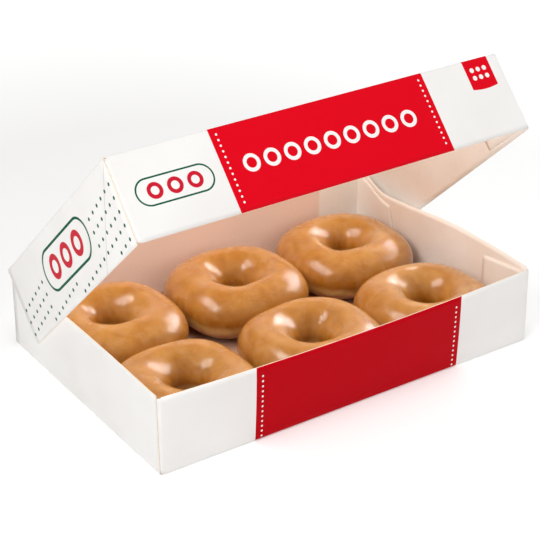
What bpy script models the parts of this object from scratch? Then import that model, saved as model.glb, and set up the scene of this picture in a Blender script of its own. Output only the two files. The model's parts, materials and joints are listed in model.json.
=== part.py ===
"""Card box of six glazed ring doughnuts, with its lid standing part open.

The tray is one piece of folded card with glue flaps in its corners.  The lid
is hinged along the top of the tray's back wall.  Six soft doughnuts, three by
two, lie side by side in the tray and press against each other and its walls.

Frame: the origin is the middle of the tray's underside, +X runs along the
box's long side, +Y points to the hinge and +Z points up.  Lengths are metres.
"""
import math

import bmesh
import bpy
import numpy as np
from mathutils import Matrix

# Driving dimensions of the box.
CARD = 0.0006
CLEARANCE = 0.0003
FOLD_RADIUS = 0.0012
TRAY_WIDTH = 0.264
TRAY_DEPTH = 0.1755
TRAY_HEIGHT = 0.0502
RIGHT_WALL_LEAN = 0.0028
LID_OVERHANG = 0.0040
LID_SKIRT = 0.0500
LID_OPEN_DEG = 43.7
HINGE_GAP = 0.0004

# Glue flaps, which run back from each corner inside the side walls.
FLAP_LENGTH = 0.0430
FLAP_DROP_AT_CORNER = 0.0030
FLAP_DROP_AT_END = 0.0092
LID_FLAP_DEPTH = 0.0450
FLAP_BITE = 0.0003
CORNER_STEP = 0.0016

# Doughnuts: ring sections are swept round each centre in these steps.
RING_STEPS = 40
SECTION_STEPS = 14
EQUATOR_HEIGHT = 0.46
UNDERSIDE_FULLNESS = 0.85
SQUASH_SHARPNESS = 12
CREST_FOLLOWS_RIM = 0.35

# name: centre x, y, free radius, crest radius, hole radius, height (all mm),
# and how far its top tips towards +X and +Y (degrees).
DOUGHNUTS = {
    "doughnut_back_left": (-88.0, 41.0, 46.5, 25.5, 13.5, 31.0, 1.5, -1.5),
    "doughnut_back_middle": (0.0, 39.0, 46.8, 26.5, 13.5, 32.0, 0.8, -1.5),
    "doughnut_back_right": (86.0, 41.5, 46.3, 25.5, 13.4, 31.0, 0.8, -1.2),
    "doughnut_front_left": (-88.0, -45.5, 46.7, 28.0, 14.4, 31.5, -2.0, 0.0),
    "doughnut_front_middle": (0.0, -44.5, 46.6, 28.0, 14.0, 33.0, 0.4, -1.5),
    "doughnut_front_right": (86.0, -45.5, 46.0, 26.5, 13.8, 32.4, -0.9, -1.0),
}
COLUMN_LINES = (-44.0, 43.2)
ROW_LINE = -3.0

# Surface colours.
CARD_COLOUR = (0.86, 0.85, 0.83, 1.0)
GLAZE_COLOUR = (0.56, 0.24, 0.05, 1.0)

HINGE_Y = TRAY_DEPTH / 2
HINGE_Z = TRAY_HEIGHT + CLEARANCE


def clear_scene():
    for item in list(bpy.data.objects):
        bpy.data.objects.remove(item, do_unlink=True)


def surface(name, colour, roughness):
    material = bpy.data.materials.new(name)
    material.use_nodes = True
    shader = material.node_tree.nodes["Principled BSDF"]
    shader.inputs["Base Color"].default_value = colour
    shader.inputs["Roughness"].default_value = roughness
    shader.inputs["Metallic"].default_value = 0.0
    return material


def object_from(shape, name, material=None):
    mesh = bpy.data.meshes.new(name)
    shape.to_mesh(mesh)
    shape.free()
    item = bpy.data.objects.new(name, mesh)
    bpy.context.scene.collection.objects.link(item)
    if material:
        mesh.materials.append(material)
    return item


def block(low, high):
    """A box between two corners, as a bmesh."""
    shape = bmesh.new()
    size = [b - a for a, b in zip(low, high)]
    middle = [(a + b) / 2 for a, b in zip(low, high)]
    place = Matrix.Translation(middle) @ Matrix.Diagonal((*size, 1.0))
    bmesh.ops.create_cube(shape, size=1.0, matrix=place)
    return shape


def round_folds(shape, is_fold):
    folds = [edge for edge in shape.edges if is_fold(edge)]
    bmesh.ops.bevel(shape, geom=folds, offset=FOLD_RADIUS, segments=3,
                    profile=0.5, affect="EDGES")


def drop_faces(shape, is_open):
    faces = [face for face in shape.faces if is_open(face)]
    bmesh.ops.delete(shape, geom=faces, context="FACES")


def lean_right_wall(shape):
    """Draw the right-hand side in, more towards the rim."""
    for vert in shape.verts:
        if vert.co.x > 0:
            share = vert.co.z / TRAY_HEIGHT * vert.co.x / (TRAY_WIDTH / 2)
            vert.co.x -= RIGHT_WALL_LEAN * share


def thicken(item):
    """Turn a folded sheet into card, on the inner side of its faces."""
    card = item.modifiers.new("card", "SOLIDIFY")
    card.thickness = CARD
    card.offset = -1.0
    card.use_even_offset = True


def combine(item, tool, operation):
    tool.hide_render = True
    tool.display_type = "WIRE"
    tool.parent = item
    step = item.modifiers.new(tool.name, "BOOLEAN")
    step.operation = operation
    step.solver = "EXACT"
    step.object = tool


def at_level(edge, axis, level):
    return all(abs(vert.co[axis] - level) < 1e-6 for vert in edge.verts)


def tray_flap(side, end):
    """A glue flap inside a side wall, its top sloping down to its free end."""
    wall = side * (TRAY_WIDTH / 2 - CARD)
    near = end * (TRAY_DEPTH / 2 - CARD + FLAP_BITE)
    far = end * (TRAY_DEPTH / 2 - FLAP_LENGTH)
    inner = wall - side * CARD
    outer = wall + side * FLAP_BITE
    floor = CARD - FLAP_BITE
    low = (min(inner, outer), min(near, far), floor)
    high = (max(inner, outer), max(near, far), TRAY_HEIGHT)
    flap = block(low, high)
    for vert in flap.verts:
        if vert.co.z > floor + CARD:
            at_corner = abs(vert.co.y - near) < 1e-6
            drop = FLAP_DROP_AT_CORNER if at_corner else FLAP_DROP_AT_END
            vert.co.z = TRAY_HEIGHT - drop
    return flap


def corner_step(side, end, wall_x, corner_y, length, low_z, high_z):
    """The cutter that ends a side wall's outer layer short of its corner."""
    outer_x = side * (wall_x + 2 * CARD)
    inner_x = side * (wall_x - CARD)
    start = corner_y + end * CARD
    stop = corner_y - end * length
    low = (min(inner_x, outer_x), min(start, stop), low_z)
    high = (max(inner_x, outer_x), max(start, stop), high_z)
    return block(low, high)


def make_tray(material):
    half = (TRAY_WIDTH / 2, TRAY_DEPTH / 2)
    shape = block((-half[0], -half[1], 0.0), (half[0], half[1], TRAY_HEIGHT))
    drop_faces(shape, lambda face: face.normal.z > 0.5)
    round_folds(shape, lambda edge: at_level(edge, 2, 0.0))
    lean_right_wall(shape)
    tray = object_from(shape, "tray", material)
    thicken(tray)
    for side in (-1, 1):
        for end in (-1, 1):
            tag = f"{side}_{end}"
            flap = tray_flap(side, end)
            lean_right_wall(flap)
            combine(tray, object_from(flap, f"flap_{tag}"), "UNION")
            step = corner_step(side, end, half[0], end * half[1], CORNER_STEP,
                               FOLD_RADIUS + CARD, TRAY_HEIGHT + CARD)
            lean_right_wall(step)
            combine(tray, object_from(step, f"step_{tag}"), "DIFFERENCE")
    return tray


def make_lid(material):
    """The lid in its closed position, about its hinge, then swung open."""
    half_width = TRAY_WIDTH / 2 + CLEARANCE + 2 * CARD
    front = -(TRAY_DEPTH + LID_OVERHANG)
    top = CARD
    bottom = top - LID_SKIRT
    shape = block((-half_width, front, bottom), (half_width, -HINGE_GAP, top))
    drop_faces(shape, lambda face: face.normal.z < -0.5 or face.normal.y > 0.5)

    def is_fold(edge):
        return at_level(edge, 2, top) and not at_level(edge, 1, -HINGE_GAP)

    round_folds(shape, is_fold)
    lid = object_from(shape, "lid", material)
    thicken(lid)
    for side in (-1, 1):
        skirt = side * (half_width - CARD)
        inner = skirt - side * CARD
        outer = skirt + side * FLAP_BITE
        flap_front = front + CARD - FLAP_BITE
        flap = block((min(inner, outer), flap_front, top - LID_FLAP_DEPTH),
                     (max(inner, outer), front + FLAP_LENGTH, -CARD))
        combine(lid, object_from(flap, f"lid_flap_{side}"), "UNION")
        step = corner_step(side, -1, half_width, front, CORNER_STEP,
                           bottom - CARD, -FOLD_RADIUS)
        combine(lid, object_from(step, f"lid_step_{side}"), "DIFFERENCE")
    lid.location = (0.0, HINGE_Y, HINGE_Z)
    lid.rotation_euler = (-math.radians(LID_OPEN_DEG), 0.0, 0.0)
    return lid


def room_around(x, y):
    """How far a doughnut at x, y may reach towards +X, -X, +Y and -Y, in mm."""
    gap = CLEARANCE * 1000 / 2
    side_wall = (TRAY_WIDTH / 2 - 2 * CARD - RIGHT_WALL_LEAN / 2) * 1000
    end_wall = (TRAY_DEPTH / 2 - CARD) * 1000 - gap
    columns = (-side_wall, *COLUMN_LINES, side_wall)
    rows = (-end_wall, ROW_LINE, end_wall)
    right = min(line for line in columns if line > x)
    left = max(line for line in columns if line < x)
    back = min(line for line in rows if line > y)
    front = max(line for line in rows if line < y)
    return right - x - gap, x - left - gap, back - y - gap, y - front - gap


def squashed_radius(angle, radius, room):
    """A circle's radius, flattened where the room on a side is less."""
    right, left, back, front = room
    power = -SQUASH_SHARPNESS
    total = np.full_like(angle, radius ** power)
    sides = ((right, np.cos(angle)), (left, -np.cos(angle)),
             (back, np.sin(angle)), (front, -np.sin(angle)))
    for reach, towards in sides:
        total += (reach / np.maximum(towards, 1e-6)) ** power
    return total ** (1 / power)


def doughnut_points(index, x, y, radius, crest, hole, height, tip_x, tip_y):
    """Rings of points, [round the centre][round the section], in mm."""
    around = np.linspace(0, 2 * np.pi, RING_STEPS, endpoint=False)[:, None]
    section = np.linspace(0, 2 * np.pi, SECTION_STEPS, endpoint=False)[None, :]
    rim = squashed_radius(around, radius, room_around(x, y))
    crest_line = crest + CREST_FOLLOWS_RIM * (rim - radius)
    crest_line = crest_line + 0.4 * np.sin(3 * around + index)
    outward = np.cos(section)
    upward = np.sin(section)
    width = np.where(outward > 0, rim - crest_line, crest_line - hole)
    reach = crest_line + width * outward
    tall = height * (1 + 0.012 * np.sin(2 * around + 2 * index))
    above = tall * (1 - EQUATOR_HEIGHT) * upward
    below = -tall * EQUATOR_HEIGHT * np.abs(upward) ** UNDERSIDE_FULLNESS
    level = tall * EQUATOR_HEIGHT + np.where(upward > 0, above, below)
    local_x = reach * np.cos(around)
    local_y = reach * np.sin(around)
    level = level + local_x * math.tan(math.radians(tip_x))
    level = level + local_y * math.tan(math.radians(tip_y))
    level = level - level.min() + (CARD + CLEARANCE) * 1000
    return np.stack([local_x, local_y, level], axis=-1)


def make_doughnut(index, name, material):
    x, y = DOUGHNUTS[name][:2]
    points = doughnut_points(index, *DOUGHNUTS[name]) / 1000
    shape = bmesh.new()
    rings = [[shape.verts.new(point) for point in ring] for ring in points]
    for i in range(RING_STEPS):
        ring = rings[i]
        after = rings[(i + 1) % RING_STEPS]
        for j in range(SECTION_STEPS):
            k = (j + 1) % SECTION_STEPS
            shape.faces.new((ring[j], after[j], after[k], ring[k]))
    bmesh.ops.recalc_face_normals(shape, faces=shape.faces)
    for face in shape.faces:
        face.smooth = True
    doughnut = object_from(shape, name, material)
    doughnut.location = (x / 1000, y / 1000, 0.0)
    return doughnut


def main():
    clear_scene()
    make_tray(surface("tray_card", CARD_COLOUR, 0.6))
    make_lid(surface("lid_card", CARD_COLOUR, 0.55))
    for index, name in enumerate(DOUGHNUTS):
        make_doughnut(index, name, surface(f"{name}_glaze", GLAZE_COLOUR, 0.25))


main()
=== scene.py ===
"""Looks for the box of glazed ring doughnuts.

The tray and the lid are folded from flat card here: each is a sheet bent along
its score lines, with glue flaps, cut edges and slightly bowed walls.  Their
print is drawn by node masks in millimetres.  The doughnuts are swept rings,
pressed against each other, with a glaze over fried dough.

Lengths are millimetres until a mesh is made, and metres after that.
"""

import json
import math

import bmesh
import bpy
import numpy as np
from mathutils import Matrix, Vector

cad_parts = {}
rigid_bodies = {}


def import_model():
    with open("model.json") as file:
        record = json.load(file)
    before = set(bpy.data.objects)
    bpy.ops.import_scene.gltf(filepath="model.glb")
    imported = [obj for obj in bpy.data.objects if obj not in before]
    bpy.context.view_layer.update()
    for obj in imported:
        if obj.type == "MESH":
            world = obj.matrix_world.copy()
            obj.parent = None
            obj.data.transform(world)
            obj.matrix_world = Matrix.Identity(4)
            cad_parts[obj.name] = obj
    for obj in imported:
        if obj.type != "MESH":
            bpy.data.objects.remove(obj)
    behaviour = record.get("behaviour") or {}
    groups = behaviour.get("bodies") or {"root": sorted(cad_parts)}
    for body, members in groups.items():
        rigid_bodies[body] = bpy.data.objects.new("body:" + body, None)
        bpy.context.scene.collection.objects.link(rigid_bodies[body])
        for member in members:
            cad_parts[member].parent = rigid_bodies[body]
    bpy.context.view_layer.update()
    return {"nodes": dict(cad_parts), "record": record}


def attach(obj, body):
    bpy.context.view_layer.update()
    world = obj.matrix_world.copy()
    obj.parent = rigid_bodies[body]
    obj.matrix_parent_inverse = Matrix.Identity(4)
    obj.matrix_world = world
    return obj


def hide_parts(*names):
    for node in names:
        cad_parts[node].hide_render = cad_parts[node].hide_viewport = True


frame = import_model()

MM = 0.001

# The box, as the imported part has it.
CARD = 0.6
TRAY_WIDTH = 264.0
TRAY_DEPTH = 175.5
TRAY_HEIGHT = 50.2
LID_OVERHANG = 4.0
LID_SKIRT = 50.0
LID_HALF_WIDTH = TRAY_WIDTH / 2 + 1.5
LID_FRONT = -(TRAY_DEPTH + LID_OVERHANG)
LID_OPEN_DEG = 43.7
HINGE_Y = TRAY_DEPTH / 2
HINGE_Z = TRAY_HEIGHT + 0.3
HINGE_GAP = 0.4

# Folds and flaps.
FOLD = 1.0
FOLD_STEPS = 5
CORNER_FOLD = 0.8
FLAP_LENGTH = 43.0
FLAP_INSET = 0.65
FLAP_STEPS = 14
PANEL_STEPS = 45
SIDE_STEPS = 31
WALL_LEVELS = 15
WELD = 1e-4

# How far the card's walls and rims are from flat and level.  A flap's drops
# are at its corner fold, just past it and at its end.
FRONT_RIM_SAG = 1.6
BACK_RIM_DROP = 0.3
FRONT_WALL_BOW = 2.4
BACK_WALL_BOW = 0.7
LEFT_WALL_LEAN = 1.3
TRAY_WALL_TAPER = 1.9
RIGHT_RIM_DRAW = 8.5
RIGHT_RIM_DROP = 2.2
RIGHT_RIM_FRONT_DRAW = 0.8
TRAY_FLAP_DROP = (0.4, 2.6, 6.2)
LID_FLAP_TOP = 49.2
LID_FLAP_DROP = (1.6, 1.4)
LID_WALL_TAPER = 1.3
LID_FRONT_BOW = 0.6
LID_TOP_SAG = 0.5

# Print, in millimetres along the box and down from the lid's top fold.
FACE_DEPTH = 1.6
FACE_SOFTNESS = 0.4
SHOW_THROUGH_SOFTNESS = 2.0
BAND = (-70.0, 76.0)
BAND_ON_TOP = (-70.0, 98.0)
DOT_COLUMNS = (-65.8, 72.4)
DOT_PITCH = 3.35
DOT_RADIUS = 0.66
TRAY_DOTS = (2.3, 42.6)
TRAY_DOTS_TOP = 44.8
LID_DOTS = (4.3, 44.4)
FRONT_MARK = (-100.5, 25.0)
SIDE_MARK = (89.0, 23.0)
SIDE_MARK_SCALE = 1.6
MARK_HALF_LENGTH = 16.0
MARK_RADIUS = 7.6
MARK_LINE = 0.5
MARK_RING_PITCH = 12.4
MARK_RING_RADIUS = 3.6
MARK_RING_LINE = 1.15
ROW_RINGS = 9
ROW_START = (-52.0, 24.5)
ROW_PITCH = 13.4
ROW_RING_RADIUS = 4.2
ROW_RING_LINE = 1.1
BADGE_LEFT = 106.2
BADGE_RIGHT = 124.9
BADGE_BOTTOM = 19.8
BADGE_CURVE = 0.012
BADGE_DOTS_X = (110.9, 115.5, 120.1)
BADGE_DOTS_DOWN = (7.0, 12.0)
BADGE_DOT_RADIUS = 1.5
SPECK_ORIGIN = (173.2, 13.4)
SPECK_ACROSS = (-7.7, 1.05)
SPECK_DOWN = (-0.33, 7.8)
SPECK_RADIUS = 1.12
SPECKS_AHEAD = (133.0, 176.0, 11.0)
SPECKS_BEHIND = (48.0, 21.0)
SPECKS_UNDER = (40.5, 47.5)
CREASE_WIDTH = 0.16

# name: free radius, crest radius, hole radius, height, tip towards +X and +Y.
DOUGHNUTS = {
    "doughnut_back_left": (46.5, 25.5, 13.5, 31.0, 1.5, -1.5),
    "doughnut_back_middle": (46.8, 26.5, 13.5, 32.0, 0.8, -1.5),
    "doughnut_back_right": (46.3, 25.5, 13.4, 31.0, 0.8, -1.2),
    "doughnut_front_left": (46.7, 28.0, 14.4, 31.5, -2.0, 0.0),
    "doughnut_front_middle": (46.6, 28.0, 14.0, 33.0, 0.4, -1.5),
    "doughnut_front_right": (46.0, 26.5, 13.8, 32.4, -0.9, -1.0),
}
COLUMN_LINES = (-44.0, 43.2)
ROW_LINE = -3.0
RING_STEPS = 160
SECTION_STEPS = 72
EQUATOR = 0.46
HOLE_WAIST = 0.74
FUNNEL_POWER = 1.25
FOOT_POWER = 0.85
NEIGHBOUR_GAP = 0.15
SIDE_CLEARANCE = 1.0
SEAT_GAP = 0.3

# The camera stands where the photograph was taken from.
CAMERA_AZIMUTH = -34.03
CAMERA_ELEVATION = 28.18
CAMERA_DISTANCE = 1.066
CAMERA_AIM = (0.0018, 0.0037, 0.0475)
CAMERA_LENS = 116.36


def tone(red, green, blue):
    """A screen colour, 0 to 255, as the linear colour a shader takes."""
    parts = []
    for value in (red, green, blue):
        value = value / 255
        low = value / 12.92
        high = ((value + 0.055) / 1.055) ** 2.4
        parts.append(low if value <= 0.04045 else high)
    return (*parts, 1.0)


BOARD_WHITE = tone(247, 245, 243)
BOARD_INSIDE = tone(251, 246, 240)
# Painted shade: the tray's floor between the doughnuts is painted this brown.
FLOOR_PAINTED_SHADE = tone(176, 128, 98)
# Cut-edge fibres, partly their own colour and partly a painted highlight along the rims.
BOARD_EDGE_WITH_PAINTED_HIGHLIGHT = tone(238, 218, 196)
INK_RED_TRAY = tone(190, 0, 18)
INK_RED_LID = tone(226, 8, 30)
INK_GREEN = tone(0, 92, 62)
INK_MARK_RED = tone(206, 30, 52)
SHOW_THROUGH = tone(242, 208, 190)
CREASE_BROWN = tone(140, 118, 100)
# The glaze's top colour holds painted light, and its low colour holds painted shade.
GLAZE_TOP_WITH_PAINTED_LIGHT = tone(196, 138, 64)
GLAZE_LOW_WITH_PAINTED_SHADE = tone(174, 106, 14)
GLAZE_BAND = tone(238, 206, 126)
GLAZE_DARK_PATCH = tone(164, 98, 20)
GLAZE_PALE_STREAK = tone(216, 168, 108)
DOUGH_BASE = tone(150, 82, 22)


# ---------------------------------------------------------------- node maths

class Field:
    """A number in a node tree; Python arithmetic on it adds Math nodes."""

    def __init__(self, tree, socket):
        self.tree = tree
        self.socket = socket

    def math(self, operation, *others, clamp=False):
        node = self.tree.nodes.new("ShaderNodeMath")
        node.operation = operation
        node.use_clamp = clamp
        for place, value in zip(node.inputs, (self, *others)):
            if isinstance(value, Field):
                self.tree.links.new(value.socket, place)
            else:
                place.default_value = value
        return Field(self.tree, node.outputs[0])

    def __add__(self, other):
        return self.math("ADD", other)

    def __sub__(self, other):
        return self.math("SUBTRACT", other)

    def __mul__(self, other):
        return self.math("MULTIPLY", other)

    def absolute(self):
        return self.math("ABSOLUTE")

    def highest(self, other):
        return self.math("MAXIMUM", other)

    def above(self, limit, softness=0.08):
        """1 where the number is over the limit, 0 below, with a soft step."""
        return ((self - limit) * (1 / softness)).math("ADD", 0.5, clamp=True)

    def below(self, limit, softness=0.08):
        return ((self - limit) * (-1 / softness)).math("ADD", 0.5, clamp=True)

    def between(self, low, high, softness=0.08):
        return self.above(low, softness) * self.below(high, softness)


def length(u, v):
    return (u * u + v * v).math("SQRT")


def joined(masks):
    """One mask that covers what any of the masks covers."""
    whole = masks[0]
    for mask in masks[1:]:
        whole = whole.highest(mask)
    return whole


def new_material(name):
    material = bpy.data.materials.new(name)
    material.use_nodes = True
    tree = material.node_tree
    return material, tree, tree.nodes["Principled BSDF"]


def object_millimetres(tree):
    """The place on the object, in millimetres, as a vector and three fields."""
    place = tree.nodes.new("ShaderNodeTexCoord")
    scaled = tree.nodes.new("ShaderNodeVectorMath")
    scaled.operation = "SCALE"
    scaled.inputs["Scale"].default_value = 1 / MM
    tree.links.new(place.outputs["Object"], scaled.inputs[0])
    split = tree.nodes.new("ShaderNodeSeparateXYZ")
    tree.links.new(scaled.outputs[0], split.inputs[0])
    axes = [Field(tree, socket) for socket in split.outputs]
    return scaled.outputs[0], axes


def noise(tree, vector, scale, detail=3.0, roughness=0.5, distortion=0.0):
    node = tree.nodes.new("ShaderNodeTexNoise")
    node.inputs["Scale"].default_value = scale
    node.inputs["Detail"].default_value = detail
    node.inputs["Roughness"].default_value = roughness
    node.inputs["Distortion"].default_value = distortion
    tree.links.new(vector, node.inputs["Vector"])
    return Field(tree, node.outputs["Fac"])


def stretched(tree, vector, factors):
    node = tree.nodes.new("ShaderNodeVectorMath")
    node.operation = "MULTIPLY"
    node.inputs[1].default_value = factors
    tree.links.new(vector, node.inputs[0])
    return node.outputs[0]


def blend_colours(tree, under, over, share):
    """A colour socket: under, covered by over where share is 1."""
    node = tree.nodes.new("ShaderNodeMix")
    node.data_type = "RGBA"
    tree.links.new(share.socket, node.inputs[0])
    for place, value in ((node.inputs[6], under), (node.inputs[7], over)):
        if isinstance(value, tuple):
            place.default_value = value
        else:
            tree.links.new(value, place)
    return node.outputs[2]


def add_bump(tree, shader, height, distance, strength=1.0, under=None):
    """Relief of the given depth in metres, on top of another bump if given."""
    node = tree.nodes.new("ShaderNodeBump")
    node.inputs["Strength"].default_value = strength
    node.inputs["Distance"].default_value = distance
    tree.links.new(height.socket, node.inputs["Height"])
    if under is not None:
        tree.links.new(under.outputs[0], node.inputs["Normal"])
    tree.links.new(node.outputs[0], shader.inputs["Normal"])
    return node


# ---------------------------------------------------------------- card looks

def dot_column(along, down, column_x, first, last):
    """A vertical row of round dots in the print."""
    shifted = down - (first - DOT_PITCH / 2)
    step = shifted.math("FLOORED_MODULO", DOT_PITCH) - DOT_PITCH / 2
    dots = length(along - column_x, step).below(DOT_RADIUS)
    return dots * down.between(first - 1.0, last + 1.0)


def generic_mark(u, v, scale):
    """A rounded frame, and the three rings inside it, as two masks."""
    outside = (u.absolute() - MARK_HALF_LENGTH * scale).highest(0.0)
    from_line = (length(outside, v) - MARK_RADIUS * scale).absolute()
    outline = from_line.below(MARK_LINE * scale)
    rings = []
    for middle in (-MARK_RING_PITCH, 0.0, MARK_RING_PITCH):
        from_ring = (length(u - middle * scale, v) - MARK_RING_RADIUS * scale).absolute()
        rings.append(from_ring.below(MARK_RING_LINE * scale))
    return outline, joined(rings)


def speckle(along, down):
    """Round specks on a slanting lattice, on the lid's side skirts.

    The lattice stays clear of the mark and of the skirt's lower edge; whole
    specks are kept or dropped by where their centres fall.
    """
    ax, ay = SPECK_ACROSS
    dx, dy = SPECK_DOWN
    spread = ax * dy - ay * dx
    u = along - SPECK_ORIGIN[0]
    v = down - SPECK_ORIGIN[1]
    first = ((u * (dy / spread)) - (v * (dx / spread))).math("ROUND")
    second = ((v * (ax / spread)) - (u * (ay / spread))).math("ROUND")
    centre_u = first * ax + second * dx
    centre_v = first * ay + second * dy
    specks = length(u - centre_u, v - centre_v).below(SPECK_RADIUS)
    at = centre_u + SPECK_ORIGIN[0]
    depth = centre_v + SPECK_ORIGIN[1]
    start, end, ahead_down = SPECKS_AHEAD
    behind_end, behind_down = SPECKS_BEHIND
    under_down, lowest_down = SPECKS_UNDER
    ahead = at.between(start, end) * depth.above(ahead_down)
    behind = at.below(behind_end) * depth.above(behind_down)
    under = depth.above(under_down) * at.below(end)
    return specks * joined([ahead, behind, under]) * depth.below(lowest_down)


def card_surface(name, print_layers):
    """Coated white board; print_layers(axes) gives (mask, ink) pairs."""
    material, tree, shader = new_material(name)
    vector, axes = object_millimetres(tree)
    cloudy = noise(tree, vector, 0.018, 2.0)
    fibres = noise(tree, vector, 1.6, 4.0, 0.6)
    mottle = noise(tree, vector, 0.35, 4.0, 0.55)
    colour = blend_colours(tree, BOARD_WHITE, tone(241, 238, 235), cloudy.above(0.55, 0.4))
    grain = fibres.above(0.62, 0.3) * 0.16
    colour = blend_colours(tree, colour, tone(230, 225, 219), grain)
    layers = print_layers(axes)
    for mask, ink in layers:
        colour = blend_colours(tree, colour, ink, mask)
    tree.links.new(colour, shader.inputs["Base Color"])
    inked = joined([mask for mask, _ in layers])
    roughness = mottle * 0.12 + 0.40 - inked * 0.08
    tree.links.new(roughness.socket, shader.inputs["Roughness"])
    shader.inputs["Specular IOR Level"].default_value = 0.04
    waves = add_bump(tree, shader, cloudy, 0.0012, 0.5)
    add_bump(tree, shader, fibres, 0.00003, 0.6, waves)
    return material


def card_inside(name, tinted, painted_shade_height):
    """Uncoated inner side; the outer print shows through it faintly.

    tinted(axes) is the mask of that print; the last argument is the height up to
    which the board is painted brown, a painted shade on the tray's floor.
    """
    material, tree, shader = new_material(name)
    vector, axes = object_millimetres(tree)
    fibres = noise(tree, stretched(tree, vector, (0.5, 1.0, 1.0)), 1.4, 5.0, 0.65)
    flecks = noise(tree, vector, 0.75, 3.0, 0.6)
    cloudy = noise(tree, vector, 0.03, 3.0)
    colour = blend_colours(tree, BOARD_INSIDE, tone(242, 231, 220), cloudy.above(0.5, 0.5))
    colour = blend_colours(tree, colour, SHOW_THROUGH, tinted(axes) * 0.75)
    # Painted shade: the board is painted brown low down, standing in for the shade on the
    # tray's floor.
    painted_floor_shade = (axes[2] + (cloudy - 0.5) * 5.0).below(painted_shade_height, 2.0)
    colour = blend_colours(tree, colour, FLOOR_PAINTED_SHADE, painted_floor_shade * 0.9)
    colour = blend_colours(tree, colour, tone(208, 186, 166), flecks.above(0.68, 0.14) * 0.35)
    colour = blend_colours(tree, colour, tone(244, 232, 216), fibres.above(0.60, 0.2) * 0.25)
    tree.links.new(colour, shader.inputs["Base Color"])
    tree.links.new((fibres * 0.15 + 0.62).socket, shader.inputs["Roughness"])
    shader.inputs["Specular IOR Level"].default_value = 0.25
    add_bump(tree, shader, fibres, 0.00006, 0.6)
    return material


def cut_edge(name):
    """Where the card is cut, its pale brown fibres show; they are painted paler than bare
    fibres, a painted highlight along the rims.
    """
    material, tree, shader = new_material(name)
    vector, _ = object_millimetres(tree)
    fibres = noise(tree, vector, 2.2, 4.0, 0.6)
    colour = blend_colours(tree, BOARD_EDGE_WITH_PAINTED_HIGHLIGHT, tone(248, 236, 220), fibres.above(0.5, 0.3))
    tree.links.new(colour, shader.inputs["Base Color"])
    shader.inputs["Roughness"].default_value = 0.85
    add_bump(tree, shader, fibres, 0.00008)
    return material


def on_tray_back(y):
    return y.above(TRAY_DEPTH / 2 - FACE_DEPTH, FACE_SOFTNESS)


def tray_print(axes):
    x, y, z = axes
    front = y.below(-(TRAY_DEPTH / 2 - FACE_DEPTH), FACE_SOFTNESS)
    back = on_tray_back(y)
    band = x.between(*BAND) * front
    band_behind = x.between(*BAND_ON_TOP) * back
    layers = [(band.highest(band_behind), INK_RED_TRAY)]
    for column in DOT_COLUMNS:
        dots = dot_column(x, z * -1 + TRAY_DOTS_TOP, column, *TRAY_DOTS)
        layers.append((dots * front, BOARD_WHITE))
    return layers


def tray_show_through(axes):
    x, y, _ = axes
    return x.between(*BAND_ON_TOP, SHOW_THROUGH_SOFTNESS) * on_tray_back(y)


def lid_faces(axes):
    """How far down from the lid's fold, and masks of its front and its top."""
    _, y, z = axes
    down = z * -1 + CARD
    front = y.below(LID_FRONT + FACE_DEPTH, FACE_SOFTNESS)
    near_top = down.below(2 * CARD, FACE_SOFTNESS)
    top = near_top * y.above(LID_FRONT + FACE_DEPTH, FACE_SOFTNESS)
    return down, front, top


def badge_mask(x, down):
    """A small flag with a curved lower edge."""
    from_middle = x - (BADGE_LEFT + BADGE_RIGHT) / 2
    edge = from_middle.math("POWER", 2.0) * BADGE_CURVE
    return x.between(BADGE_LEFT, BADGE_RIGHT) * (down + edge).below(BADGE_BOTTOM)


def ring_row(x, down):
    """The row of rings across the lid's band."""
    rings = []
    for step in range(ROW_RINGS):
        middle = ROW_START[0] + ROW_PITCH * step
        from_ring = (length(x - middle, down - ROW_START[1]) - ROW_RING_RADIUS).absolute()
        rings.append(from_ring.below(ROW_RING_LINE))
    return joined(rings)


def lid_print(axes):
    x, y, _ = axes
    along = y * -1
    down, front, top = lid_faces(axes)
    left = x.below(-(LID_HALF_WIDTH - FACE_DEPTH), FACE_SOFTNESS)
    band = (x.between(*BAND) * front).highest(x.between(*BAND_ON_TOP) * top)
    layers = [(band.highest(badge_mask(x, down) * front), INK_RED_LID)]
    for column in DOT_COLUMNS:
        layers.append((dot_column(x, down, column, *LID_DOTS) * front, BOARD_WHITE))
    layers.append((ring_row(x, down) * front, BOARD_WHITE))
    badge_dots = joined([length(x - across, down - drop).below(BADGE_DOT_RADIUS)
                         for across in BADGE_DOTS_X for drop in BADGE_DOTS_DOWN])
    layers.append((badge_dots * front, BOARD_WHITE))
    marks = ((x, FRONT_MARK, 1.0, front), (along, SIDE_MARK, SIDE_MARK_SCALE, left))
    for across, middle, scale, face in marks:
        outline, rings = generic_mark(across - middle[0], down - middle[1], scale)
        layers.append((outline * face, INK_GREEN))
        layers.append((rings * face, INK_MARK_RED))
    layers.append((speckle(along, down) * left, INK_GREEN))
    off_diagonal = ((y - LID_FRONT) - down) * math.sqrt(0.5)
    crease = off_diagonal.absolute().below(CREASE_WIDTH, CREASE_WIDTH)
    sides = x.absolute().above(LID_HALF_WIDTH - FACE_DEPTH, FACE_SOFTNESS)
    layers.append((crease * sides * down.above(0.8) * 0.6, CREASE_BROWN))
    return layers


def lid_show_through(axes):
    x = axes[0]
    _, front, top = lid_faces(axes)
    on_top = x.between(*BAND_ON_TOP, SHOW_THROUGH_SOFTNESS) * top
    return on_top + x.between(*BAND, SHOW_THROUGH_SOFTNESS) * front


# ---------------------------------------------------------------- card shapes

def add_grid(shape, points, face_out):
    """Quads over rows of points; a piece's grids are welded together later."""
    verts = [[shape.verts.new(point) for point in row] for row in points]
    for row, below in zip(verts, verts[1:]):
        for j in range(len(row) - 1):
            corners = [row[j], row[j + 1], below[j + 1], below[j]]
            if not face_out:
                corners.reverse()
            shape.faces.new(corners)


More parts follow.
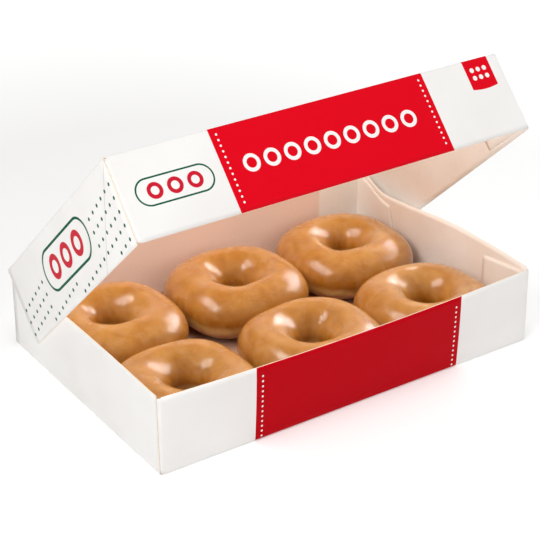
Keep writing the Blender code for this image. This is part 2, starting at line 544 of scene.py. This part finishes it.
def fold_arc():
    """Across and up, from flat to upright, round a score line."""
    turn = np.linspace(0, np.pi / 2, FOLD_STEPS)
    return FOLD - FOLD * np.sin(turn), FOLD - FOLD * np.cos(turn)


def flap_path(half_width, front_y, straight):
    """The wall's path in plan: left flap, corner, straight, corner, right flap.

    Gives x, y and the distance past the corner, which is 0 on the straight.
    """
    flap_x = half_width - FLAP_INSET
    direction = 1 if front_y < 0 else -1
    turn = np.linspace(0, np.pi / 2, FOLD_STEPS)
    corner_x = flap_x - CORNER_FOLD + CORNER_FOLD * np.sin(turn)
    corner_y = front_y + direction * CORNER_FOLD * (1 - np.cos(turn))
    run = np.linspace(0, FLAP_LENGTH - CORNER_FOLD, FLAP_STEPS)[1:]
    flap_y = front_y + direction * (CORNER_FOLD + run)
    right_x = np.concatenate([corner_x[1:], np.full(len(run), flap_x)])
    right_y = np.concatenate([corner_y[1:], flap_y])
    past = np.concatenate([np.full(len(turn) - 1, 0.5), CORNER_FOLD + run])
    path_x = np.concatenate([-right_x[::-1], straight, right_x])
    path_y = np.concatenate([right_y[::-1], np.full(len(straight), front_y), right_y])
    beyond = np.concatenate([past[::-1], np.zeros(len(straight)), past])
    return path_x, path_y, beyond


def make_tub(half_width, front_y, back_y, has_back, wall_height, flap_top, taper):
    """A folded tub of card, its middle surface, base down, as a bmesh.

    wall_height(x, y) is the height of a wall there, flap_top(beyond) a flap's,
    and taper is how far the side walls' upper ends are drawn in.
    """
    shape = bmesh.new()
    seam = half_width - FLAP_INSET - CORNER_FOLD
    straight = np.linspace(-seam, seam, PANEL_STEPS)
    xs = np.concatenate([[-(half_width - FOLD)], straight, [half_width - FOLD]])
    back_seam = back_y - FOLD if has_back else back_y
    ys = np.linspace(front_y + FOLD, back_seam, SIDE_STEPS)
    grid_y, grid_x = np.meshgrid(ys, xs, indexing="ij")
    add_grid(shape, np.stack([grid_x, grid_y, 0 * grid_x], -1), False)
    across, up = fold_arc()
    rows = np.linspace(0, 1, WALL_LEVELS)[:, None]
    ends = [(front_y, 1)] + ([(back_y, -1)] if has_back else [])
    for end_y, inward in ends:
        outward_faces = inward > 0
        arc_y = end_y + inward * across
        arc = [np.stack([straight, np.full_like(straight, y), np.full_like(straight, z)], -1)
               for y, z in zip(arc_y, up)]
        add_grid(shape, np.array(arc), outward_faces)
        path_x, path_y, beyond = flap_path(half_width, end_y, straight)
        top = np.where(beyond > 0, flap_top(beyond), wall_height(path_x, path_y))
        z = FOLD + rows * (top - FOLD)
        wall = np.stack([path_x + 0 * rows, path_y + 0 * rows, z], -1)
        add_grid(shape, wall, outward_faces)
    middle = (ys[0] + ys[-1]) / 2
    reach = (ys[-1] - ys[0]) / 2
    for side in (-1, 1):
        arc_x = side * (half_width - across)
        arc = [np.stack([np.full_like(ys, x), ys, np.full_like(ys, z)], -1)
               for x, z in zip(arc_x, up)]
        add_grid(shape, np.array(arc), side > 0)
        z = FOLD + rows * (wall_height(np.full_like(ys, side * half_width), ys) - FOLD)
        drawn_in = rows * (ys - middle) / reach
        drawn_in = np.where(drawn_in < 0, taper * drawn_in, 0.3 * taper * drawn_in)
        wall = np.stack([np.full_like(z, side * half_width), ys - drawn_in, z], -1)
        add_grid(shape, wall, side > 0)
    bmesh.ops.remove_doubles(shape, verts=shape.verts, dist=WELD)
    return shape


def mesh_object(name, shape, materials):
    """An object in the scene, from a bmesh in metres."""
    mesh = bpy.data.meshes.new(name)
    shape.to_mesh(mesh)
    shape.free()
    for material in materials:
        mesh.materials.append(material)
    mesh.shade_smooth()
    piece = bpy.data.objects.new(name, mesh)
    bpy.context.scene.collection.objects.link(piece)
    return piece


def card_object(name, shape, materials):
    """Scales the middle surface to metres and gives it the card's thickness.

    materials are the printed side, the inside and the cut edge.
    """
    for vert in shape.verts:
        vert.co *= MM
    piece = mesh_object(name, shape, materials)
    card = piece.modifiers.new("card", "SOLIDIFY")
    card.thickness = CARD * MM
    card.offset = 0.0
    card.use_even_offset = True
    card.use_quality_normals = True
    card.material_offset = 1
    card.material_offset_rim = 2
    return piece


def smooth_step(value):
    value = np.clip(value, 0, 1)
    return value * value * (3 - 2 * value)


def flap_slope(beyond):
    """0 at a flap's corner fold, rising evenly to 1 at its end."""
    return np.clip((beyond - CORNER_FOLD) / (FLAP_LENGTH - CORNER_FOLD), 0, 1)


def right_wall_draw(y):
    """How far the right wall's rim is drawn in, and how much lower it sits."""
    rise = smooth_step((y + 35.0) / 88.0) ** 1.3
    back = 1 - smooth_step((y - 48.0) / 38.0)
    front = RIGHT_RIM_FRONT_DRAW * smooth_step((-y - 60.0) / 26.0)
    return RIGHT_RIM_DRAW * rise * back + front, RIGHT_RIM_DROP * rise * back


def make_tray():
    def wall_height(x, y):
        at_front = y < -(TRAY_DEPTH / 2 - 2)
        sag = FRONT_RIM_SAG * (1 - (x / (TRAY_WIDTH / 2)) ** 2)
        lowered = np.where(x > TRAY_WIDTH / 2 - 2, right_wall_draw(y)[1], BACK_RIM_DROP)
        return TRAY_HEIGHT - CARD / 2 - np.where(at_front, sag, lowered)

    def flap_top(beyond):
        start, shoulder, end = TRAY_FLAP_DROP
        drop = start + shoulder * smooth_step(beyond / 2.0) + end * flap_slope(beyond)
        return TRAY_HEIGHT - CARD / 2 - drop

    half_width = TRAY_WIDTH / 2 - CARD / 2
    half_depth = TRAY_DEPTH / 2 - CARD / 2
    shape = make_tub(half_width, -half_depth, half_depth, True,
                     wall_height, flap_top, TRAY_WALL_TAPER)
    for vert in shape.verts:
        x, y, z = vert.co
        rise = z / TRAY_HEIGHT
        along_x = 1 - (x / half_width) ** 2
        along_y = 1 - (y / half_depth) ** 2
        if x > half_width - 2:
            lean, _ = right_wall_draw(np.array(y))
            vert.co.x -= float(lean) * rise ** 1.5
        elif x < -(half_width - 2):
            vert.co.x += LEFT_WALL_LEAN * along_y * rise
        if y < -(half_depth - 0.1):
            vert.co.y -= FRONT_WALL_BOW * along_x * math.sin(rise * math.pi * 0.55)
        elif y > half_depth - 0.1:
            vert.co.y -= BACK_WALL_BOW * along_x * math.sin(rise * math.pi * 0.9)
        vert.co.z += CARD / 2
    materials = (
        card_surface("tray_board_printed", tray_print),
        card_inside("tray_board_inside", tray_show_through, 3.0),
        cut_edge("tray_board_cut_edge"),
    )
    tray = card_object("card_tray", shape, materials)
    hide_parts("tray")
    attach(tray, "tray")
    return materials[0]


def make_lid():
    def wall_height(x, y):
        return np.full_like(x, LID_SKIRT - CARD / 2)

    def flap_top(beyond):
        shoulder, end = LID_FLAP_DROP
        return LID_FLAP_TOP - shoulder * smooth_step(beyond / 3.0) - end * flap_slope(beyond)

    half_width = LID_HALF_WIDTH - CARD / 2
    shape = make_tub(half_width, LID_FRONT + CARD / 2, -HINGE_GAP, False,
                     wall_height, flap_top, LID_WALL_TAPER)
    for vert in shape.verts:
        x, y, z = vert.co
        along_x = 1 - (x / half_width) ** 2
        along_y = 1 - (2 * y / LID_FRONT - 1) ** 2
        if y < LID_FRONT + 1:
            vert.co.y += LID_FRONT_BOW * along_x * (z / LID_SKIRT) ** 2
        elif z < 1 and abs(x) < half_width - 1.1:
            vert.co.z += LID_TOP_SAG * along_x * along_y
        vert.co.z = CARD / 2 - vert.co.z
    bmesh.ops.reverse_faces(shape, faces=shape.faces)
    materials = (
        card_surface("lid_board_printed", lid_print),
        card_inside("lid_board_inside", lid_show_through, -80.0),
        cut_edge("lid_board_cut_edge"),
    )
    lid = card_object("card_lid", shape, materials)
    lid.location = (0.0, HINGE_Y * MM, HINGE_Z * MM)
    lid.rotation_euler.x = -math.radians(LID_OPEN_DEG)
    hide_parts("lid")
    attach(lid, "lid")
    return lid


def make_hinge_fold(material):
    """The rounded back of the score line that joins the lid to the tray."""
    xs = np.linspace(-(TRAY_WIDTH / 2 - 0.6), TRAY_WIDTH / 2 - 0.6, 90)
    turn = np.linspace(0, 2 * np.pi, 13)
    radius = 0.5 + 0.04 * np.sin(xs * 0.37) + 0.03 * np.sin(xs * 0.11 + 1.0)
    ys = HINGE_Y - 0.25 + radius[:, None] * np.cos(turn)
    zs = HINGE_Z - 0.2 + radius[:, None] * np.sin(turn)
    points = np.stack([xs[:, None] + 0 * ys, ys, zs], -1) * MM
    shape = bmesh.new()
    add_grid(shape, points, False)
    bmesh.ops.remove_doubles(shape, verts=shape.verts, dist=WELD * MM)
    bmesh.ops.holes_fill(shape, edges=shape.edges, sides=20)
    bmesh.ops.recalc_face_normals(shape, faces=shape.faces)
    fold = mesh_object("hinge_fold", shape, [material])
    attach(fold, "tray")


# ---------------------------------------------------------------- doughnuts

def room_around(x, y):
    """How far a doughnut at x, y may reach towards +X, -X, +Y and -Y."""
    side_wall = TRAY_WIDTH / 2 - 2 * CARD - SIDE_CLEARANCE
    end_wall = TRAY_DEPTH / 2 - CARD - NEIGHBOUR_GAP
    columns = (-side_wall, *COLUMN_LINES, side_wall)
    rows = (-end_wall, ROW_LINE, end_wall)
    right = min(line for line in columns if line > x)
    left = max(line for line in columns if line < x)
    back = min(line for line in rows if line > y)
    front = max(line for line in rows if line < y)
    return tuple(reach - NEIGHBOUR_GAP
                 for reach in (right - x, x - left, back - y, y - front))


def squashed_radius(angle, radius, room):
    """A circle's radius, flattened where the room on a side is less."""
    right, left, back, front = room
    sharpness = -12
    total = radius ** sharpness + 0 * angle
    sides = ((right, np.cos(angle)), (left, -np.cos(angle)),
             (back, np.sin(angle)), (front, -np.sin(angle)))
    for reach, towards in sides:
        total = total + (reach / np.maximum(towards, 1e-6)) ** sharpness
    return total ** (1 / sharpness)


def waves(angle, rng, counts, size):
    """A closed wavy line round the ring, of a few random sines."""
    total = 0 * angle
    for count in counts:
        phase = rng.uniform(0, 2 * np.pi)
        total = total + rng.uniform(0.5, 1.0) * np.sin(count * angle + phase)
    return size * total / len(counts)


def doughnut_points(index, x, y, radius, crest, hole, height, tip_x, tip_y):
    """Rings of points, [round the centre][round the section], in mm."""
    rng = np.random.default_rng(40 + index)
    around = np.linspace(0, 2 * np.pi, RING_STEPS, endpoint=False)[:, None]
    section = np.linspace(0, 2 * np.pi, SECTION_STEPS, endpoint=False)[None, :]
    free = radius + waves(around, rng, (2, 3, 4), 0.9)
    rim = squashed_radius(around, free, room_around(x, y))
    crest_line = crest + 0.35 * (rim - radius) + waves(around, rng, (2, 3, 5), 1.1)
    inner = HOLE_WAIST * hole + waves(around, rng, (2, 3, 4), 1.1)
    outward = np.cos(section)
    upward = np.sin(section)
    funnel = -np.abs(outward) ** FUNNEL_POWER
    reach = np.where(outward > 0, (rim - crest_line) * outward, (crest_line - inner) * funnel)
    reach = crest_line + reach
    tall = height * (1 + 0.012 * np.sin(2 * around + 2 * index))
    tall = tall + waves(around, rng, (3, 5, 6), 0.55)
    above = tall * (1 - EQUATOR) * upward
    below = -tall * EQUATOR * np.abs(upward) ** FOOT_POWER
    level = tall * EQUATOR + np.where(upward > 0, above, below)
    # Faint dimples where the ring was lifted and laid down, fading to its foot.
    dents = waves(around + 0.4 * section, rng, (4, 7, 9), 0.35)
    reach = reach + dents * outward * np.clip(upward + 0.5, 0, 1)
    local_x = reach * np.cos(around)
    local_y = reach * np.sin(around)
    level = level + local_x * math.tan(math.radians(tip_x))
    level = level + local_y * math.tan(math.radians(tip_y))
    level = level - level.min() + CARD + SEAT_GAP
    return np.stack([local_x + x, local_y + y, level], axis=-1)


def glaze_material():
    """Dough at the foot, a pale proof band, then glaze: deeper amber low down, a painted
    shade, and paler on the top, a painted light.
    """
    material, tree, shader = new_material("sugar_glaze_on_fried_dough")
    vector, (_, _, z) = object_millimetres(tree)
    patches = noise(tree, vector, 0.05, 3.0, 0.55)
    mottle = noise(tree, vector, 0.11, 3.0, 0.5)
    pores = noise(tree, vector, 0.9, 4.0, 0.6)
    streaks = noise(tree, stretched(tree, vector, (1.0, 1.0, 0.6)), 0.10, 3.0, 0.55, 0.8)
    height = z + (patches - 0.5) * 7.0
    # Painted shade: the glaze is deeper amber low down and in the hole.
    colour = blend_colours(tree, DOUGH_BASE, GLAZE_LOW_WITH_PAINTED_SHADE, height.above(4.0, 4.0))
    band = height.between(10.5, 15.0, 3.0)
    # Painted light: the glaze is paler on the top, where the light falls.
    colour = blend_colours(tree, colour, GLAZE_TOP_WITH_PAINTED_LIGHT, height.above(21.0, 12.0))
    colour = blend_colours(tree, colour, GLAZE_BAND, band * 0.85)
    colour = blend_colours(tree, colour, GLAZE_DARK_PATCH, mottle.above(0.50, 0.28) * 0.50)
    colour = blend_colours(tree, colour, GLAZE_PALE_STREAK, streaks.above(0.55, 0.30) * 0.36)
    tree.links.new(colour, shader.inputs["Base Color"])
    tree.links.new((mottle * 0.16 + 0.18).socket, shader.inputs["Roughness"])
    shader.inputs["IOR"].default_value = 1.5
    shader.inputs["Specular IOR Level"].default_value = 0.15
    shader.inputs["Coat Weight"].default_value = 1.0
    shader.inputs["Coat Roughness"].default_value = 0.17
    shader.inputs["Coat IOR"].default_value = 1.6
    shader.inputs["Subsurface Weight"].default_value = 0.30
    shader.inputs["Subsurface Radius"].default_value = (1.0, 0.55, 0.18)
    shader.inputs["Subsurface Scale"].default_value = 0.004
    soft = add_bump(tree, shader, mottle, 0.0009, 0.6)
    ripples = noise(tree, vector, 0.30, 2.0, 0.5)
    rippled = add_bump(tree, shader, ripples, 0.00022, 0.6, soft)
    add_bump(tree, shader, pores, 0.00006, 0.6, rippled)
    return material


def make_doughnut(index, name, material, centre):
    points = doughnut_points(index, *centre, *DOUGHNUTS[name]) * MM
    closed = np.concatenate([points, points[:1]], 0)
    closed = np.concatenate([closed, closed[:, :1]], 1)
    shape = bmesh.new()
    add_grid(shape, closed, True)
    bmesh.ops.remove_doubles(shape, verts=shape.verts, dist=WELD * MM)
    bmesh.ops.recalc_face_normals(shape, faces=shape.faces)
    piece = mesh_object("glazed_" + name, shape, [material])
    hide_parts(name)
    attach(piece, "tray")


def make_doughnuts():
    """Each doughnut is centred on its hole, which the record states."""
    openings = frame["record"]["physics"]["openings"]
    centres = {}
    for opening in openings:
        if opening["name"].startswith("hole_"):
            low, high = opening["box_m"]
            middle = [(a + b) / 2 / MM for a, b in zip(low, high)]
            centres["doughnut_" + opening["name"][len("hole_"):]] = middle[:2]
    material = glaze_material()
    for index, name in enumerate(DOUGHNUTS):
        make_doughnut(index, name, material, centres[name])


# ---------------------------------------------------------------- the studio

def make_floor():
    material, tree, shader = new_material("studio_floor")
    vector, (x, y, _) = object_millimetres(tree)
    tooth = noise(tree, vector, 0.4, 3.0)
    colour = blend_colours(tree, tone(252, 252, 252), tone(248, 248, 247), tooth)
    tree.links.new(colour, shader.inputs["Base Color"])
    shader.inputs["Roughness"].default_value = 0.9
    shader.inputs["Specular IOR Level"].default_value = 0.1
    shader.inputs["Emission Color"].default_value = (1.0, 1.0, 1.0, 1.0)
    # The floor glows more away from the box, where the softboxes don't reach.
    glow = length(x, y).above(700.0, 700.0) * 0.7 + 0.16
    tree.links.new(glow.socket, shader.inputs["Emission Strength"])
    shape = bmesh.new()
    steps = np.linspace(-3.0, 3.0, 13)
    grid_y, grid_x = np.meshgrid(steps, steps, indexing="ij")
    add_grid(shape, np.stack([grid_x, grid_y, 0 * grid_x - 0.0002], -1), True)
    floor = mesh_object("floor", shape, [material])


def add_light(name, direction, distance, size, power, blockers=None, receivers=None,
              reflected=True):
    """A softbox aimed at the box.

    Only what is in blockers casts its shadow, and only receivers take its light.
    A light that isn't reflected lights the surfaces without a highlight.
    """
    lamp = bpy.data.lights.new(name, "AREA")
    lamp.shape = "RECTANGLE"
    lamp.size, lamp.size_y = size
    lamp.energy = power
    item = bpy.data.objects.new(name, lamp)
    towards = Vector(direction).normalized()
    item.location = Vector(CAMERA_AIM) + towards * distance
    item.rotation_euler = towards.to_track_quat("Z", "Y").to_euler()
    if blockers is not None:
        item.light_linking.blocker_collection = blockers
        # Without this, a glossy reflection would still be stopped by the lid.
        lamp.cycles.use_multiple_importance_sampling = False
    item.visible_glossy = reflected
    if receivers is not None:
        item.light_linking.receiver_collection = receivers
    bpy.context.scene.collection.objects.link(item)


def make_studio(lid):
    """Soft lights: separate ones for card and glaze, some passing through the lid."""
    world = bpy.data.worlds.new("studio")
    world.use_nodes = True
    sky = world.node_tree.nodes["Background"]
    sky.inputs["Color"].default_value = (1.0, 0.995, 0.985, 1.0)
    sky.inputs["Strength"].default_value = 0.20
    bpy.context.scene.world = world
    under_lid = bpy.data.collections.new("casts_shadow_under_the_lid")
    card = bpy.data.collections.new("lit_as_card")
    glaze = bpy.data.collections.new("lit_as_glaze")
    tray_only = bpy.data.collections.new("lit_inside_the_tray")
    for item in bpy.context.scene.objects:
        if item.type != "MESH":
            continue
        if item not in (lid, frame["nodes"]["lid"]):
            under_lid.objects.link(item)
        (glaze if "doughnut" in item.name else card).objects.link(item)
        if item.name == "card_tray":
            tray_only.objects.link(item)
    add_light("softbox_right", (0.918, 0.10, 0.42), 1.3, (0.8, 0.7), 5.0, None, card)
    add_light("softbox_front", (0.20, -0.85, 0.46), 1.5, (1.1, 0.9), 3.2, None, card)
    add_light("softbox_left", (-0.90, 0.10, 0.42), 1.5, (1.1, 0.9), 0.5, None, card)
    add_light("softbox_above", (-0.10, -0.10, 0.98), 1.6, (1.1, 1.1), 8.8, under_lid, card)
    add_light("inside_fill", (-0.70, -0.34, 0.63), 1.3, (0.6, 0.6), 6.4, under_lid, card)
    add_light("inside_lamp", (-0.35, -0.30, 0.89), 0.20, (0.12, 0.12), 0.14, under_lid,
              tray_only, reflected=False)
    add_light("glaze_above", (-0.10, -0.20, 0.98), 1.4, (1.4, 1.4), 7.0, under_lid, glaze,
              reflected=False)
    add_light("glaze_right", (0.87, 0.04, 0.50), 1.3, (1.4, 0.65), 12.5, under_lid, glaze)
    add_light("glaze_left", (-0.60, 0.20, 0.77), 1.3, (1.1, 0.6), 8.0, under_lid, glaze)
    add_light("glaze_sheen", (0.45, 0.75, 0.48), 1.3, (1.3, 0.8), 1.4, under_lid, glaze)
    bpy.context.scene.view_settings.view_transform = "Standard"


def make_camera():
    azimuth = math.radians(CAMERA_AZIMUTH)
    elevation = math.radians(CAMERA_ELEVATION)
    back = Vector((math.sin(azimuth) * math.cos(elevation),
                   -math.cos(azimuth) * math.cos(elevation),
                   math.sin(elevation)))
    lens = bpy.data.cameras.new("camera")
    lens.lens = CAMERA_LENS
    lens.sensor_width = 36.0
    camera = bpy.data.objects.new("camera", lens)
    camera.location = Vector(CAMERA_AIM) + back * CAMERA_DISTANCE
    camera.rotation_euler = back.to_track_quat("Z", "Y").to_euler()
    bpy.context.scene.collection.objects.link(camera)
    bpy.context.scene.camera = camera


make_camera()
make_floor()
tray_board = make_tray()
lid_piece = make_lid()
make_hinge_fold(tray_board)
make_doughnuts()
make_studio(lid_piece)
